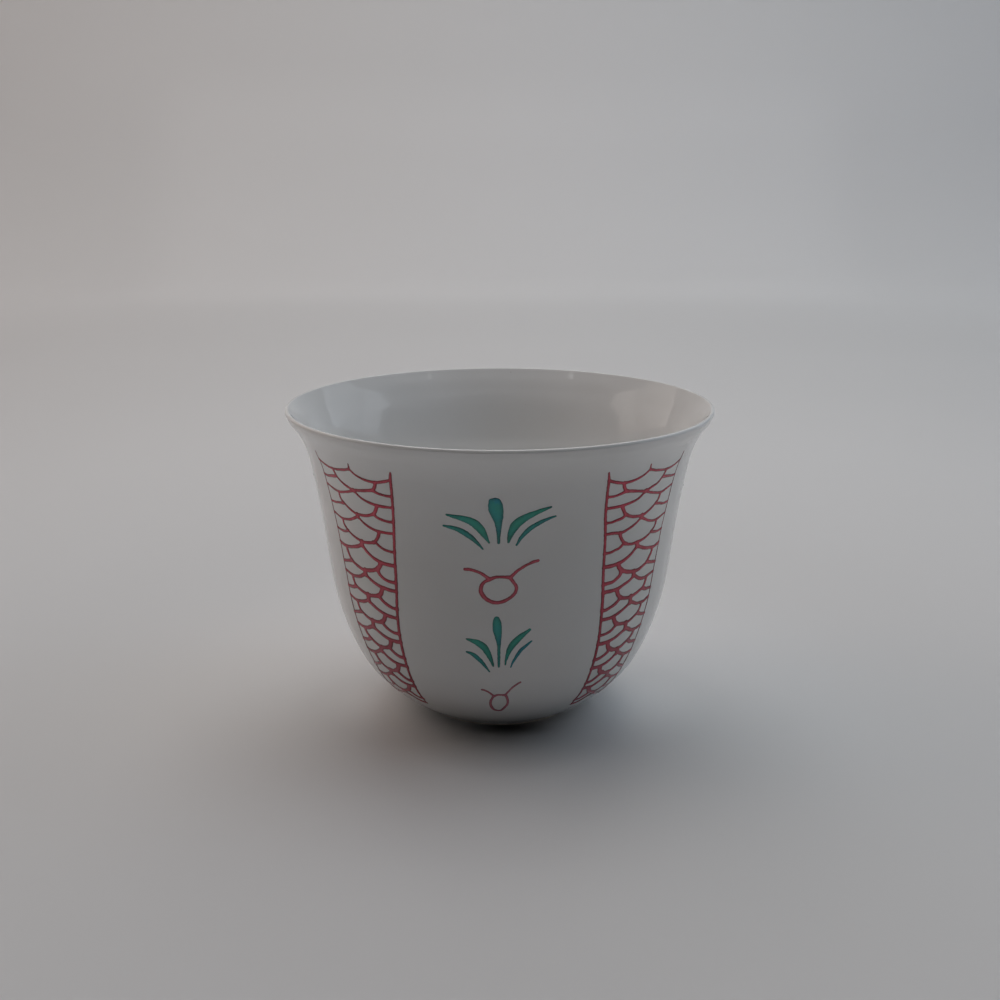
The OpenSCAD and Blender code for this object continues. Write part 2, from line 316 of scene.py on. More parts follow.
def warp(p):
    """The same small unroundness as the body's, for what lies on it."""
    p = p / MM
    ang = np.arctan2(p[:, 0], -p[:, 1])
    r = np.hypot(p[:, 0], p[:, 1])
    z = p[:, 2]
    wave = 0.035 * np.sin(2 * ang + 0.7) + 0.02 * np.sin(3 * ang + 2.1)
    up = np.clip((z - 20) / 30, 0, 1)
    rr = r + wave * up * np.minimum(1, r / 20)
    zz = z + up * up * (0.11 - 0.20 * np.cos(ang) + 0.012 * np.sin(2 * ang + 1.9) + 0.006 * np.sin(5 * ang))
    return np.stack([rr * np.sin(ang), -rr * np.cos(ang), zz], -1) * MM


# ------------------------------------------------------------------ enamel
def ripple(x, s, seed, size):
    """Smooth seeded noise in about -1..1, features about size mm."""
    rng = np.random.RandomState(seed)
    out = 0
    for _ in range(6):
        a = rng.uniform(0, 2 * math.pi)
        k = 2 * math.pi / (size * rng.uniform(0.7, 1.6))
        out = out + np.sin((x * math.cos(a) + s * math.sin(a)) * k + rng.uniform(0, 6.28))
    return out / 3.0


class Enamel:
    """Strokes laid on the wall round azimuth centre, melted together into
    one solid: a field of distance to the strokes, cut at zero, with a domed
    top. x is in mm sideways, s in mm down the wall."""

    def __init__(self, centre, box, step, seed, height=0.10, roll=0.17, melt=0.035, wobble=0.014, full=0.30):
        self.centre, self.step, self.seed, self.full = centre, step, seed, full
        self.height, self.roll, self.melt, self.wobble = height, roll, melt, wobble
        x0, x1, s0, s1 = box
        self.x = np.arange(x0, x1 + step, step)
        self.s = np.arange(s0, s1 + step, step)
        self.E = np.zeros((len(self.x), len(self.s)))
        self.T = self.E.copy()

    def stroke(self, pts, rad, n=8, hue=0.0):
        """pts in mm [x, s], rad the half width in mm at each of them."""
        q = spline([(p[0], p[1], r) for p, r in zip(pts, rad)], n)
        f = np.full(self.E.shape, -9.0)
        reach = float(max(q[:, 2])) + 0.3
        for a, b in zip(q[:-1], q[1:]):
            i0, i1 = np.searchsorted(self.x, [min(a[0], b[0]) - reach, max(a[0], b[0]) + reach])
            j0, j1 = np.searchsorted(self.s, [min(a[1], b[1]) - reach, max(a[1], b[1]) + reach])
            if i0 >= i1 or j0 >= j1:
                continue
            X, S = np.meshgrid(self.x[i0:i1], self.s[j0:j1], indexing="ij")
            d = b[:2] - a[:2]
            l2 = max(float(d @ d), 1e-9)
            t = np.clip(((X - a[0]) * d[0] + (S - a[1]) * d[1]) / l2, 0, 1)
            dist = np.hypot(X - a[0] - t * d[0], S - a[1] - t * d[1])
            r = a[2] + t * (b[2] - a[2])
            f[i0:i1, j0:j1] = np.maximum(f[i0:i1, j0:j1], r - dist)
        w = np.where(f > -1, np.exp(np.clip(f, -1, 2) / self.melt), 0)
        self.E += w
        if hue:
            self.T += w * hue

    def solid(self, name, mat):
        F = self.melt * np.log(np.maximum(self.E, 1e-12))
        tone = self.T / np.maximum(self.E, 1e-12)
        X, S = np.meshgrid(self.x, self.s, indexing="ij")
        F = F + self.wobble * ripple(X, S, self.seed, 1.1) + 0.6 * self.wobble * ripple(X, S, self.seed + 7, 0.45)
        inside = F > 0
        nx, ns = F.shape
        idx = -np.ones(F.shape, int)
        ii, jj = np.nonzero(inside)
        # keep only nodes of cells that are used
        idx[ii, jj] = np.arange(len(ii))
        vx, vs, vf = list(X[ii, jj]), list(S[ii, jj]), list(F[ii, jj])
        cross = {}

        def edge(i, j, k, l):
            key = (i, j, k, l)
            v = cross.get(key)
            if v is None:
                t = F[i, j] / (F[i, j] - F[k, l])
                t = min(max(t, 0.06), 0.94)
                v = len(vx)
                vx.append(X[i, j] + t * (X[k, l] - X[i, j]))
                vs.append(S[i, j] + t * (S[k, l] - S[i, j]))
                vf.append(0.0)
                cross[key] = v
            return v

        cells = inside[:-1, :-1].astype(int) + inside[1:, :-1] + inside[1:, 1:] + inside[:-1, 1:]
        faces = []
        for i, j in zip(*np.nonzero(cells)):
            c = [(i, j), (i + 1, j), (i + 1, j + 1), (i, j + 1)]
            if cells[i, j] == 4:
                faces.append([idx[p] for p in c])
                continue
            ring = []
            for a in range(4):
                p, q = c[a], c[(a + 1) % 4]
                if inside[p]:
                    ring.append(idx[p])
                if inside[p] != inside[q]:
                    lo, hi = (p, q) if p < q else (q, p)
                    ring.append(edge(*lo, *hi))
            if cells[i, j] == 2 and inside[c[0]] == inside[c[2]]:
                # two corners across the cell: two separate triangles
                for a in range(4):
                    if inside[c[a]]:
                        q, r = c[(a + 1) % 4], c[(a - 1) % 4]
                        e1 = edge(*min(c[a], q), *max(c[a], q))
                        e2 = edge(*min(c[a], r), *max(c[a], r))
                        faces.append([idx[c[a]], e1, e2])
                continue
            faces.append(ring)
        vx, vs, vf = np.array(vx), np.array(vs), np.array(vf)
        t = np.clip(vf / self.roll, 0, 1)
        dome = np.sqrt(np.maximum(0, 1 - (1 - t) ** 2))
        h = self.height * dome * (1 + 0.16 * ripple(vx, vs, self.seed + 3, 1.6) * t)
        n = len(vx)
        up = wall_points(vx, vs, h, self.centre)
        down = wall_points(vx, vs, 0 * h - 0.03, self.centre)
        edges = {}
        for f in faces:
            for a, b in zip(f, f[1:] + f[:1]):
                edges[(a, b)] = edges.get((a, b), 0) + 1
        allf = [tuple(f) for f in faces]
        allf += [tuple(n + v for v in reversed(f)) for f in faces]
        for (a, b) in edges:
            if (b, a) not in edges:
                allf.append((b, a, n + a, n + b))
        verts = warp(np.vstack([up, down]))
        # x runs to the right seen from outside and s runs down
        allf = [tuple(reversed(f)) for f in allf]
        ob = new_object(name, verts, allf, [mat])
        gi = np.clip(np.rint((vx - self.x[0]) / self.step).astype(int), 0, nx - 1)
        gj = np.clip(np.rint((vs - self.s[0]) / self.step).astype(int), 0, ns - 1)
        for key, val in (("lay", np.clip(0.1 + 0.9 * vf / self.full, 0, 1)), ("hue", tone[gi, gj])):
            at = ob.data.attributes.new(key, "FLOAT", "POINT")
            at.data.foreach_set("value", np.concatenate([val, val]).astype(np.float32))
        return ob


def finish_piece(ob, cad_node):
    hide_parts(cad_node)
    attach(ob, "root")


# The scale panel as it is painted: degrees from its middle (towards the
# front or back motif is plus), depth s in mm down the wall.
RIM_EDGE = [(15.8, 4.9), (15.4, 5.6), (15.0, 6.6), (14.6, 9.0), (14.1, 12), (13.6, 14.5), (13.2, 16.3), (12.75, 19), (12.4, 22),
            (12.0, 24.5), (11.5, 27), (11.1, 29.5), (10.75, 32), (10.55, 34.5), (10.4, 37.5), (10.3, 40), (10.35, 42), (10.4, 44.5),
            (10.1, 46.0), (9.75, 46.95)]
OUT_EDGE = [(-15.0, 4.3), (-15.4, 5.2), (-15.1, 6.6), (-14.6, 9.0), (-14.1, 12), (-13.6, 14.5), (-13.3, 16.3), (-12.9, 19), (-12.45, 22),
            (-12.1, 24.5), (-11.9, 27), (-11.5, 29.5), (-11.15, 32), (-10.8, 34.5), (-10.4, 37.5), (-10.1, 40), (-9.9, 42),
            (-9.7, 44.5), (-9.6, 46.2), (-9.6, 47.2)]
# each row: outer arc, inner arc, hanging scale, outer and inner close
ROWS = [
    ([(0.3, 5.8), (-3.5, 6.28), (-8, 6.55), (-12, 6.35), (-15.3, 5.85)],
     [(0.6, 5.75), (2.5, 6.5), (5.2, 6.95), (8, 7.1), (10.3, 7.02), (13, 6.65), (15.1, 6.25)],
     [(-8, 6.6), (-7.3, 7.35), (-6.7, 7.8), (-5, 8.38), (-2.5, 8.9), (0, 9.18), (3, 9.0), (6, 8.72), (8.1, 8.42), (9, 7.9), (9.6, 7.15)],
     [(-7, 7.72), (-10, 8.0), (-12.5, 8.22), (-14.8, 8.2)],
     [(8.2, 8.55), (10, 8.83), (12, 8.98), (14.4, 8.98)]),
    ([(0, 9.3), (-2.5, 9.72), (-5, 10.05), (-8, 10.27), (-11, 10.08), (-14.4, 9.7)],
     [(0.6, 9.4), (2, 9.98), (4, 10.42), (7, 10.75), (10, 10.86), (14.2, 10.78)],
     [(-7.8, 10.35), (-7.5, 11.2), (-6.7, 11.75), (-5.2, 12.15), (-3, 12.72), (-0.3, 13.08), (2.6, 13.02), (5, 12.76), (7, 12.3),
      (8, 11.6), (8.6, 10.95)],
     [(-6.2, 11.98), (-8.5, 12.15), (-11, 12.35), (-13.9, 12.45)],
     [(7, 12.42), (8, 12.8), (10, 13.05), (12, 13.13), (13.8, 13.1)]),
    ([(-0.3, 13.5), (-2, 13.92), (-4, 14.32), (-6.5, 14.6), (-8.8, 14.7), (-11, 14.5), (-13.5, 14.2)],
     [(0.2, 13.6), (1.5, 14.1), (3, 14.48), (5, 14.83), (7.5, 15.05), (11, 15.02), (13.5, 14.92)],
     [(-8.6, 14.8), (-8.3, 15.6), (-7.2, 16.15), (-6.2, 16.52), (-4, 17.0), (-2, 17.3), (0, 17.48), (2.5, 17.4), (5, 17.1),
      (6.5, 16.5), (7.5, 15.8), (8, 15.15)],
     [(-6.4, 16.42), (-8.5, 16.78), (-11, 16.85), (-13.2, 16.7)],
     [(6, 17.05), (7.5, 17.5), (9, 17.8), (11, 17.97), (13, 17.95)]),
    ([(-0.6, 18.0), (-2.2, 18.45), (-5, 18.9), (-7.5, 19.15), (-9.6, 19.25), (-12, 19.1), (-13, 18.9)],
     [(0, 18.2), (1.5, 18.9), (3.5, 19.5), (5.5, 19.9), (8, 20.15), (10.5, 20.2), (12.6, 20.12)],
     [(-9.1, 19.3), (-8.7, 20.0), (-7.8, 20.8), (-6.5, 21.42), (-5, 21.75), (-2.5, 22.1), (-0.4, 22.15), (2, 21.92), (4, 21.62),
      (5.5, 21.25), (6.5, 20.7), (7, 20.2)],
     [(-6.7, 21.35), (-9, 21.62), (-12.4, 22.0)],
     [(5.7, 21.9), (7, 22.5), (8.5, 22.82), (10.5, 22.95), (12.2, 22.9)]),
    ([(-0.7, 22.7), (-2.2, 23.2), (-4, 23.6), (-6.5, 23.85), (-9, 23.8), (-12.2, 23.5)],
     [(-0.2, 23.0), (1.5, 23.45), (3.5, 23.85), (5.5, 24.12), (8, 24.3), (10.5, 24.36), (11.9, 24.34)],
     [(-8, 24.1), (-7.6, 24.9), (-6.8, 25.5), (-5, 25.82), (-3, 26.08), (-0.6, 26.2), (2, 26.1), (4.3, 25.8), (5.5, 25.3), (6.3, 24.5)],
     [(-6.9, 25.6), (-9, 25.95), (-12, 26.15)],
     [(5, 26.15), (6.2, 26.62), (8, 27.02), (10, 27.28), (11.5, 27.2)]),
    ([(-1.1, 27.15), (-2.6, 27.5), (-4.5, 27.8), (-7, 28.0), (-9, 28.0), (-11.8, 27.65)],
     [(-0.4, 27.4), (2, 28.0), (4, 28.4), (6, 28.7), (8, 28.85), (10, 28.87), (11.1, 28.82)],
     [(-7.5, 28.2), (-7.2, 29.0), (-6.3, 29.65), (-4.5, 30.1), (-2.5, 30.48), (-0.6, 30.6), (2, 30.5), (4, 30.25), (5.2, 29.7), (6, 28.95)],
     [(-6.4, 29.8), (-9, 30.2), (-11.5, 30.5)],
     [(5, 30.8), (6.5, 31.3), (8.5, 31.6), (10.8, 31.6)]),
    ([(-1.3, 31.7), (-3, 32.05), (-5, 32.45), (-8, 32.65), (-11.1, 32.4)],
     [(-0.4, 31.95), (1.6, 32.45), (4, 32.92), (6.5, 33.15), (8.6, 33.2), (10.6, 33.08)],
     [(-7, 32.75), (-6.3, 33.6), (-5, 34.2), (-3.3, 34.72), (-1.5, 35.1), (0.5, 35.25), (2.6, 35.08), (4.4, 34.75), (5.5, 34.15), (6.2, 33.3)],
     [(-5.1, 34.4), (-7, 34.88), (-9, 35.1), (-10.7, 35.3)],
     [(5.3, 35.2), (6.8, 35.75), (8.3, 36.05), (10.4, 36.1)]),
    ([(-1.3, 36.15), (-4, 36.8), (-6, 37.1), (-8.5, 37.2), (-10.5, 37.05)],
     [(0.2, 36.3), (1.8, 36.95), (3.5, 37.4), (5.2, 37.65), (7.5, 37.8), (10.3, 37.72)],
     [(-5.7, 37.3), (-4.9, 38.5), (-3.2, 39.3), (-1.5, 39.72), (0.4, 39.85), (2.4, 39.72), (4, 39.4), (5.3, 38.85), (6.2, 37.95)],
     [(-4.6, 38.95), (-6.5, 39.5), (-10, 40.1)],
     [(5.4, 40.0), (7, 40.6), (8.5, 40.88), (10.2, 40.85)]),
    ([(-0.8, 40.75), (-2.3, 41.05), (-4.2, 41.5), (-7, 41.8), (-9.9, 41.7)],
     [(0.7, 40.85), (2.3, 41.4), (4, 41.85), (6, 42.12), (8, 42.2), (10.3, 42.05)],
     [(-4.7, 41.9), (-3.8, 43.1), (-2, 44.0), (0.2, 44.4), (2.4, 44.3), (4.4, 43.9), (6, 43.2), (7, 42.4)],
     [(-3.6, 43.6), (-6, 44.2), (-9.7, 44.5)],
     [(5.4, 44.2), (7, 44.95), (8.5, 45.35), (10.3, 45.4)]),
    ([(0.8, 44.9), (-1.5, 45.4), (-4, 45.9), (-9.6, 46.2)],
     [(1.4, 44.95), (3.5, 45.8), (6, 46.6), (8.3, 46.95), (9.7, 47.0)],
     None, None, None)]


def joined(close, scale):
    """The closing stroke, started on the hanging scale that it closes."""
    def apart(p):
        return math.hypot(math.radians(p[0] - close[0][0]) * float(wall_r(p[1])), p[1] - close[0][1])

    near = min(scale, key=apart)
    return [near] + close if apart(near) > 0.3 else close


def scale_panel(name, centre, seed, side, stretch=0.0):
    """side: +1 where its inner edge is at the greater azimuth."""
    rng = np.random.RandomState(seed)
    e = Enamel(centre, (-9.6, 9.6, 3.8, 48.9), 0.09, seed, height=0.07, melt=0.06, wobble=0.016)
    still = 0.0 if seed == 104 else 1.0

    def put(pts, rad, n=6, ends=True):
        out = []
        for k, (a, s) in enumerate(pts):
            s = s + (s - 3) * stretch
            j = still if 0 < k < len(pts) - 1 else 0.3 * still
            out.append((side * math.radians(a) * float(wall_r(s)) + j * rng.normal(0, 0.035), s + j * rng.normal(0, 0.045)))
        m = len(out)
        if isinstance(rad, float):
            rad = [rad] * m
        else:
            rad = list(np.interp(np.linspace(0, 1, m), np.linspace(0, 1, len(rad)), rad))
        e.stroke(out, [r * rng.uniform(0.93, 1.08) for r in rad], n)

    put(RIM_EDGE, [0.17, 0.26, 0.27, 0.26, 0.27, 0.28, 0.28, 0.27, 0.27, 0.25, 0.22, 0.13])
    put(OUT_EDGE, [0.07, 0.085, 0.09, 0.095, 0.10, 0.11, 0.12, 0.13, 0.13, 0.13, 0.13, 0.10])
    put([(1.15, 4.75), (0.9, 5.2), (0.55, 5.75)], [0.13, 0.18, 0.22])
    for k, (a, b, c, dl, dr) in enumerate(ROWS):
        w = 0.225 if k < 3 else 0.30 if k < 6 else 0.345
        put(a, [w + 0.02, w, w - 0.01, w - 0.05])
        put(b, [w, w - 0.01, w + 0.01, w + 0.03, w])
        # where the arcs of a row meet, a drop of enamel hangs from the scale above
        if k:
            top = ROWS[k - 1][2]
            i = min(range(len(top)), key=lambda q: abs(top[q][0] - b[0][0] + 0.3))
            put([top[i], ((top[i][0] + a[0][0]) / 2, (top[i][1] + a[0][1]) / 2), ((a[0][0] + b[0][0]) / 2, (a[0][1] + b[0][1]) / 2)],
                0.31 if k < 3 else 0.45)
        if c:
            put(c, [w + 0.03, w, w - 0.02, w, w + 0.03, w + 0.04, w + 0.08, w + 0.10])
            put(joined(dl, c), [w + 0.05, w, w - 0.04])
            put(joined(dr, c), [w + 0.10, w + 0.02, w - 0.01, w + 0.02])
    return e.solid(name, RED)


def polar(pts):
    """[azimuth in degrees, depth] to [x mm, depth]."""
    return [(math.radians(p[0]) * float(wall_r(p[1])), p[1]) for p in pts]


# Leaves as brush strokes: azimuth, depth and half width in mm along each, and
# how far the blue green takes over from the green.
UPPER = [
    ([(-1.25, 8.75, 0.72), (-1.1, 9.15, 0.93), (-0.95, 9.8, 0.95), (-0.65, 10.6, 0.80), (-0.4, 11.4, 0.59), (-0.3, 12.0, 0.46),
      (-0.27, 12.8, 0.34), (-0.27, 14.0, 0.24), (-0.27, 15.0, 0.18)], 0.35),
    ([(-2.1, 8.42, 0.36), (-1.9, 8.9, 0.5)], 0.6), ([(-0.5, 8.38, 0.36), (-0.3, 8.9, 0.5)], 1.0),
    ([(-1.1, 8.7, 0.72), (-0.7, 9.5, 0.72)], 1.0),
    ([(-0.27, 11.8, 0.46), (-0.27, 13.4, 0.27)], 0.9),
    ([(-14.5, 10.82, 0.12), (-13, 11.0, 0.24), (-11, 11.2, 0.35), (-9.2, 11.42, 0.46), (-7.6, 11.75, 0.55), (-6.2, 12.3, 0.59),
      (-5.1, 13.0, 0.53), (-4.2, 13.8, 0.38), (-3.4, 14.5, 0.22), (-2.9, 15.0, 0.12)], 0.08),
    ([(-15.5, 12.62, 0.14), (-14, 12.75, 0.24), (-12, 12.97, 0.32), (-10, 13.45, 0.39), (-8.3, 14.05, 0.37), (-7, 14.65, 0.30),
      (-5.8, 15.3, 0.21), (-4.7, 16.0, 0.12)], 0.25),
    ([(13.9, 9.62, 0.13), (12.3, 9.88, 0.22), (10.2, 10.3, 0.31), (8.3, 10.75, 0.40), (6.5, 11.25, 0.48), (4.9, 11.88, 0.56),
      (3.9, 12.6, 0.53), (3.2, 13.4, 0.41), (2.7, 14.2, 0.27), (2.45, 14.9, 0.14)], 0.05),
    ([(15.3, 11.12, 0.12), (13.5, 11.4, 0.18), (11.5, 11.85, 0.25), (9.5, 12.42, 0.29), (8, 13.0, 0.30), (6.7, 13.72, 0.27),
      (5.6, 14.5, 0.2), (4.7, 15.4, 0.12)], 0.45)]
LOWER = [
    ([(-0.85, 27.15, 0.40), (-0.8, 27.7, 0.57), (-0.75, 28.3, 0.61), (-0.7, 29.0, 0.60), (-0.5, 29.8, 0.49), (-0.35, 30.6, 0.36),
      (-0.25, 31.5, 0.26), (-0.25, 33.0, 0.21), (-0.25, 34.5, 0.19), (-0.25, 35.6, 0.15)], 0.3),
    ([(-0.4, 29.9, 0.44), (-0.25, 31.4, 0.26)], 1.0),
    ([(-10.4, 30.65, 0.13), (-9, 30.87, 0.27), (-7.5, 31.1, 0.42), (-6.1, 31.5, 0.51), (-4.8, 32.1, 0.51), (-3.8, 33.0, 0.43),
      (-3.0, 34.0, 0.31), (-2.4, 34.9, 0.2), (-2.1, 35.5, 0.12)], 0.05),
    ([(-10.6, 32.98, 0.14), (-9.2, 33.2, 0.26), (-7.9, 33.65, 0.33), (-6.6, 34.3, 0.33), (-5.4, 35.05, 0.26), (-4.4, 35.8, 0.19),
      (-3.4, 36.6, 0.1)], 0.4),
    ([(9.3, 29.05, 0.19), (7.9, 29.6, 0.31), (6.5, 30.2, 0.41), (5.1, 30.9, 0.48), (3.9, 31.7, 0.47), (3.0, 32.6, 0.37),
      (2.4, 33.6, 0.25), (2.0, 34.5, 0.16), (1.9, 35.2, 0.1)], 0.1),
    ([(10.1, 31.05, 0.12), (8.8, 31.6, 0.2), (7.3, 32.3, 0.25), (6.2, 33.0, 0.25), (5.3, 33.8, 0.21), (4.4, 34.7, 0.17),
      (3.7, 35.7, 0.1)], 0.95)]
UPPER_RING = [(2.9, 20.5, 0.24), (1.5, 20.4, 0.20), (0, 20.38, 0.20), (-1.5, 20.45, 0.20), (-2.9, 20.8, 0.25), (-4.3, 21.15, 0.21),
              (-5.15, 21.7, 0.23), (-5.5, 22.4, 0.26), (-5.2, 23.1, 0.27), (-4.3, 23.75, 0.27), (-3, 24.22, 0.26),
              (-1.6, 24.45, 0.25), (-0.3, 24.48, 0.23), (1.1, 24.27, 0.22), (2.6, 23.88, 0.22), (3.9, 23.35, 0.21),
              (4.75, 22.7, 0.21), (4.85, 21.95, 0.21), (4.0, 21.2, 0.21)]
UPPER_TENDRILS = [
    [(-10.0, 19.3, 0.19), (-8.5, 19.3, 0.21), (-7, 19.5, 0.2), (-5.5, 19.8, 0.2), (-4.3, 20.2, 0.21), (-3.2, 20.7, 0.26)],
    [(11.0, 17.95, 0.19), (9.5, 18.15, 0.2), (8, 18.5, 0.18), (6.5, 18.95, 0.18), (5.0, 19.5, 0.19), (4.0, 20.0, 0.2), (3.1, 20.5, 0.25)]]
LOWER_RING = [(2.2, 41.72, 0.23), (0.8, 41.6, 0.2), (-0.8, 41.62, 0.2), (-2.1, 41.9, 0.22), (-2.9, 42.5, 0.18), (-3.5, 43.3, 0.19),
              (-3.6, 44.2, 0.2), (-3.2, 45.2, 0.22), (-2.3, 45.95, 0.23), (-0.8, 46.3, 0.23), (0.6, 46.2, 0.21), (1.5, 45.65, 0.2),
              (2.3, 44.95, 0.19), (2.95, 44.3, 0.18), (3.2, 43.45, 0.17), (2.9, 42.5, 0.18)]
LOWER_TENDRILS = [
    [(-6.4, 40.45, 0.18), (-5.3, 40.6, 0.18), (-4.0, 41.0, 0.165), (-2.9, 41.5, 0.17), (-2.1, 41.95, 0.2)],
    [(7.3, 38.85, 0.16), (6.0, 39.3, 0.155), (4.7, 39.9, 0.15), (3.6, 40.6, 0.14), (2.8, 41.15, 0.15), (2.1, 41.7, 0.2)]]


def shake(pts, rng, size, drift, wide=1.0):
    """The same stroke drawn again by hand: shifted, and a little uneven."""
    return [(wide * x + drift[0] + rng.normal(0, size), s + drift[1] + rng.normal(0, size)) for x, s in polar(pts)]


def sprig(name, centre, shapes, seed, wide=1.0):
    rng = np.random.RandomState(seed)
    again = 0.0 if seed == 11 else 1.0
    ss = [p[1] for pts, _ in shapes for p in pts]
    e = Enamel(centre, (-9.2, 9.2, min(ss) - 1.4, max(ss) + 1), 0.08, seed, height=0.08, roll=0.26, melt=0.03, wobble=0.018, full=0.5)
    for pts, hue in shapes:
        drift = (0.0, 0.0) if len(pts) < 4 or abs(pts[0][0]) < 3 else (again * rng.normal(0, 0.12), again * rng.normal(0, 0.12))
        full = 1.2 if shapes is UPPER and pts[0][0] > 3 else 1.1
        e.stroke(shake(pts, rng, 0.03 * again, drift, wide), [p[2] * (1 + again * rng.normal(0, 0.05)) * full for p in pts], hue=hue)
    return e.solid(name, GREEN)


def berry(name, centre, ring, tendrils, seed, wide=1.0):
    rng = np.random.RandomState(seed)
    again = 0.0 if seed == 21 else 1.0
    ss = [p[1] for p in ring] + [p[1] for t in tendrils for p in t]
    broad, wash = (1.10, 1.0) if ring is LOWER_RING else (1.22, 0.35)
    e = Enamel(centre, (-7.2, 7.2, min(ss) - 1, max(ss) + 1), 0.075, seed, height=0.07, roll=0.17, melt=0.035, wobble=0.016)
    loop = ring + ring[:3]
    e.stroke(shake(loop[:-1], rng, 0.0, (0, 0), wide), [broad * p[2] for p in loop[:-1]], n=5, hue=wash)
    for t in tendrils:
        drift = (again * rng.normal(0, 0.05), 0.0)
        e.stroke(shake(t, rng, 0.03 * again, drift, wide), [broad * p[2] for p in t], hue=wash)
    return e.solid(name, RED)


def decorate():
    for k, (side, centre, way) in enumerate([("front_right", 45, -1), ("back_right", 135, 1), ("back_left", 225, -1), ("front_left", 315, 1)]):
        ob = scale_panel("net_" + side, centre, 101 + k, way, 0.012 if way < 0 else 0.0)
        finish_piece(ob, "scale_panel_" + side)
    # the side motifs are painted a little narrower and further back
    for k, (side, centre, wide) in enumerate([("front", 0, 1.0), ("right", 93.5, 0.8), ("back", 180, 1.0), ("left", 266.5, 0.8)]):
        finish_piece(sprig("sprig_upper_" + side, centre, UPPER, 11 + k, wide), "upper_leaves_" + side)
        finish_piece(sprig("sprig_lower_" + side, centre, LOWER, 11 + k, wide), "lower_leaves_" + side)
        finish_piece(berry("berry_upper_" + side, centre, UPPER_RING, UPPER_TENDRILS, 21 + k, wide), "upper_berry_" + side)
        finish_piece(berry("berry_lower_" + side, centre, LOWER_RING, LOWER_TENDRILS, 21 + k, wide), "lower_berry_" + side)


porcelain()
decorate()


# ------------------------------------------------------------------- stage
def stage_material():
    m, nt, b = material("studio_cove")
    tc = node(nt, "ShaderNodeTexCoord").outputs["Object"]
    sep = node(nt, "ShaderNodeSeparateXYZ")
    nt.links.new(tc, sep.inputs[0])
    x, y, z = sep.outputs

    def step(v, lo, hi, a=0.0, b=1.0):
        r = node(nt, "ShaderNodeMapRange", interpolation_type="SMOOTHSTEP")
        nt.links.new(v, r.inputs["Value"])
        for k, w in (("From Min", lo), ("From Max", hi), ("To Min", a), ("To Max", b)):
            r.inputs[k].default_value = w
        return r.outputs["Result"]

    def away(cx, cy, kx=1.0, ky=1.0):
        u = maths(nt, "MULTIPLY", maths(nt, "SUBTRACT", x, cx), kx)
        v = maths(nt, "MULTIPLY", maths(nt, "SUBTRACT", y, cy), ky)
        return maths(nt, "SQRT", maths(nt, "ADD", maths(nt, "MULTIPLY", u, u), maths(nt, "MULTIPLY", v, v)))

    # painted shade and light on the floor by distance from the cup, painted shade darker round the front
    ring = maths(nt, "SQRT", maths(nt, "ADD", maths(nt, "MULTIPLY", x, x), maths(nt, "MULTIPLY", y, y)))
    painted_floor_shade = node(nt, "ShaderNodeFloatCurve")
    curve = painted_floor_shade.mapping.curves[0]
    spots = [(0.0, 1.10), (0.022, 1.10), (0.036, 1.13), (0.052, 1.11), (0.08, 1.06), (0.13, 1.07), (0.19, 1.04), (0.26, 0.96), (0.33, 0.88),
             (0.40, 0.83), (0.48, 0.795), (0.56, 0.81), (0.66, 0.88), (0.75, 0.95), (0.86, 1.0), (1.0, 1.04), (1.5, 1.05)]
    for k, (r, v) in enumerate(spots):
        if k < 2:
            curve.points[k].location = (r / 1.5, v / 2)
        else:
            curve.points.new(r / 1.5, v / 2)
    painted_floor_shade.mapping.update()
    nt.links.new(maths(nt, "MULTIPLY", ring, 1 / 1.5), painted_floor_shade.inputs["Value"])
    tone = maths(nt, "MULTIPLY_ADD", noise(nt, tc, 3.0, 2.0, 0.5), 0.02, 0.59)
    tone = maths(nt, "MULTIPLY", tone, maths(nt, "MULTIPLY", painted_floor_shade.outputs[0], 2.0))
    tone = maths(nt, "MULTIPLY", tone, step(y, -1.15, -0.45, 0.26, 1.0))
    # painted light: a shade lighter to the right and in front of the cup
    tone = maths(nt, "MULTIPLY", tone, step(x, -0.3, 0.3, 0.98, 1.04))
    tone = maths(nt, "MULTIPLY", tone, step(away(0, -0.051, 1, 1.3), 0.0, 0.045, 1.10, 1.0))
    # painted contact shadow where the foot turns under, a painted shade ring round it, and painted light paler to both
    # sides of it
    tone = maths(nt, "MULTIPLY", tone, step(away(0.0012, -0.0133, 1, 2.1), 0.0, 0.0085, 0.20, 1.0))
    tone = maths(nt, "MULTIPLY", tone, step(away(0.0012, -0.0185), 0.0, 0.016, 0.80, 1.0))
    tone = maths(nt, "MULTIPLY", tone, step(away(-0.0150, -0.0035), 0.0, 0.0165, 1.34, 1.0))
    tone = maths(nt, "MULTIPLY", tone, step(away(0.0180, -0.0040), 0.0, 0.0185, 1.30, 1.0))
    tone = maths(nt, "MULTIPLY", tone, step(away(0.001, -0.0125), 0.0135, 0.0190, 0.93, 1.0))
    tone = maths(nt, "MINIMUM", tone, 0.93)
    # painted light: one broad lighter patch low on the wall behind
    edge = maths(nt, "SUBTRACT", maths(nt, "ABSOLUTE", x), maths(nt, "MULTIPLY_ADD", y, 0.2, 0.10))
    painted_light_patch = maths(nt, "MULTIPLY", step(edge, -0.04, 0.04, 1.0, 0.0), step(y, 0.55, 0.67))
    painted_light_patch = maths(nt, "MULTIPLY", painted_light_patch, step(z, 0.105, 0.185, 1.0, 0.0))
    tone = maths(nt, "MULTIPLY", tone, maths(nt, "MULTIPLY_ADD", painted_light_patch, 0.05, 1.0))
    col = node(nt, "ShaderNodeCombineColor")
    for k in range(3):
        nt.links.new(tone, col.inputs[k])
    nt.links.new(col.outputs[0], b.inputs["Base Color"])
    b.inputs["Roughness"].default_value = 0.75
    b.inputs["Specular IOR Level"].default_value = 0.25
    return m


